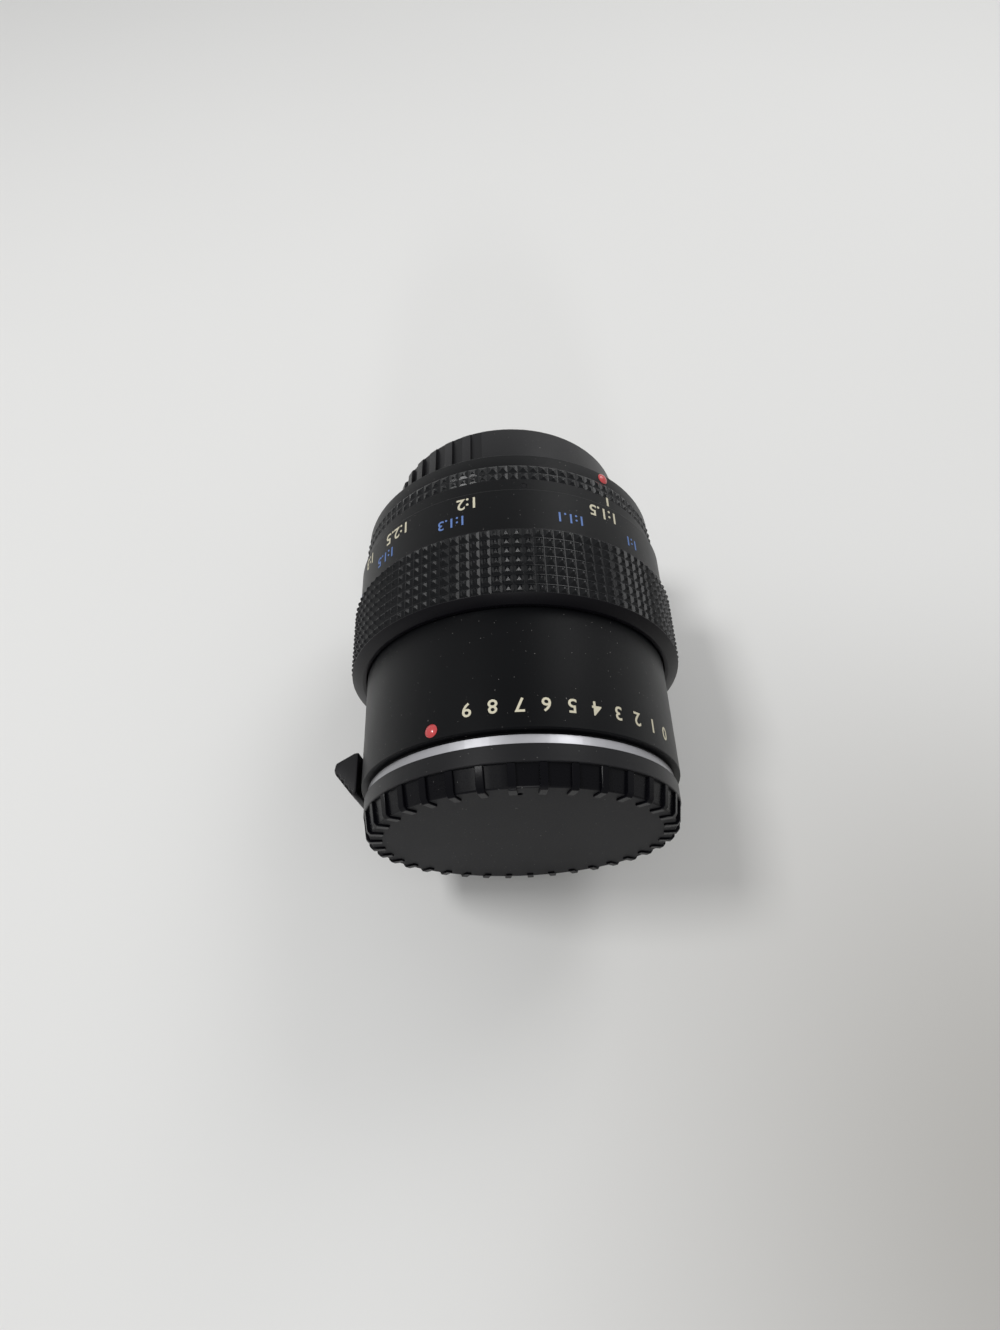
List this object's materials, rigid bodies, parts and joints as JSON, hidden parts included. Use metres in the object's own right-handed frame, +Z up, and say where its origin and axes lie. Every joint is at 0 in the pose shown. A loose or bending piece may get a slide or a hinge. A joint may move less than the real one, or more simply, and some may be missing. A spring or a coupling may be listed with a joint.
{
  "type": "camera teleconverter",
  "caption": "Focusing teleconverter with a knurled ring that drives an extending front barrel, a bayonet at each end, a lens release lever and two end caps.",
  "frame": {"origin": "on the optical axis, at the seating face of the camera-side bayonet flange", "axes": "+Y along the optical axis towards the camera, -Y towards the lens, +Z up as the part lies on its side"},
  "size_m": [0.0683, 0.0799, 0.066],
  "materials": {
    "black_paint": "satin black enamel",
    "black_anodised": "fine matt black",
    "inner_black": "flat anti-reflection black",
    "bright_steel": "satin chrome",
    "spring_steel": "plain",
    "brass_key": "machined",
    "screw_steel": "plain",
    "cap_plastic": "matt moulded black",
    "lever_plastic": "satin black",
    "red_bead": "gloss",
    "coated_glass": "coated"
  },
  "bodies": {
    "rear_body": {"rear_collar": "black_paint", "collar_set_screws": "screw_steel", "rear_index_bead": "red_bead", "rear_mount_plate": "bright_steel", "rear_mount_screws": "screw_steel", "guide_tube": "inner_black", "guide_screws": "screw_steel", "optics_barrel": "inner_black", "optics_nut": "inner_black", "front_element": "coated_glass", "inner_element": "coated_glass", "rear_element": "coated_glass", "element_spacer": "inner_black", "front_lens_ring": "inner_black", "rear_mask": "inner_black"},
    "focusing_ring": {"focus_sleeve": "black_paint", "focus_grip": "black_anodised", "lip_ring": "black_paint"},
    "front_barrel": {"front_tube": "black_paint", "front_index_bead": "red_bead", "bayonet_plate": "bright_steel", "bayonet_screws": "screw_steel", "bayonet_springs": "spring_steel", "guide_keys": "brass_key", "front_baffle": "inner_black", "lock_spring": "spring_steel"},
    "lens_release": {"release_lever": "lever_plastic", "lock_pin": "bright_steel"},
    "rear_stop_down": {"rear_stop_ring": "inner_black"},
    "front_stop_down": {"front_stop_ring": "inner_black"},
    "front_cap": {"front_cap": "cap_plastic"},
    "rear_cap": {"rear_cap": "cap_plastic"}
  },
  "joints": [
    {"name": "focus_turn", "type": "hinge", "parent": "rear_body", "child": "focusing_ring", "pos_m": [0, -0.022, 0], "axis": [0, -1, 0], "range_deg": [-193.44, 7.8]},
    {"name": "barrel_slide", "type": "slide", "parent": "rear_body", "child": "front_barrel", "axis": [0, -1, 0], "range_m": [-0.01241, 0.00051]},
    {"name": "release_push", "type": "slide", "parent": "front_barrel", "child": "lens_release", "axis": [0, 1, 0], "range_m": [0, 0.0013], "stiffness_N_per_m": 400, "springref_m": -0.002, "deforming": ["lock_spring"]},
    {"name": "stop_down_turn", "type": "hinge", "parent": "rear_body", "child": "rear_stop_down", "pos_m": [0, -0.005, 0], "axis": [0, 1, 0], "range_deg": [-14, 0], "stiffness_Nm_per_rad": 0.02, "springref_deg": 11.46},
    {"name": "lens_stop_turn", "type": "hinge", "parent": "front_barrel", "child": "front_stop_down", "pos_m": [0, -0.0528, 0], "axis": [0, 1, 0], "range_deg": [-14.01, 0.01]},
    {"name": "front_cap_pull", "type": "slide", "parent": "front_barrel", "child": "front_cap", "axis": [0, -1, 0], "range_m": [0, 0.02]},
    {"name": "rear_cap_pull", "type": "slide", "parent": "rear_body", "child": "rear_cap", "axis": [0, 1, 0], "range_m": [0, 0.02]}
  ],
  "couplings": [
    {"joint": "barrel_slide", "follows": "focus_turn", "m_per_rad": 0.0036728},
    {"joint": "lens_stop_turn", "follows": "stop_down_turn", "ratio": 1}
  ]
}
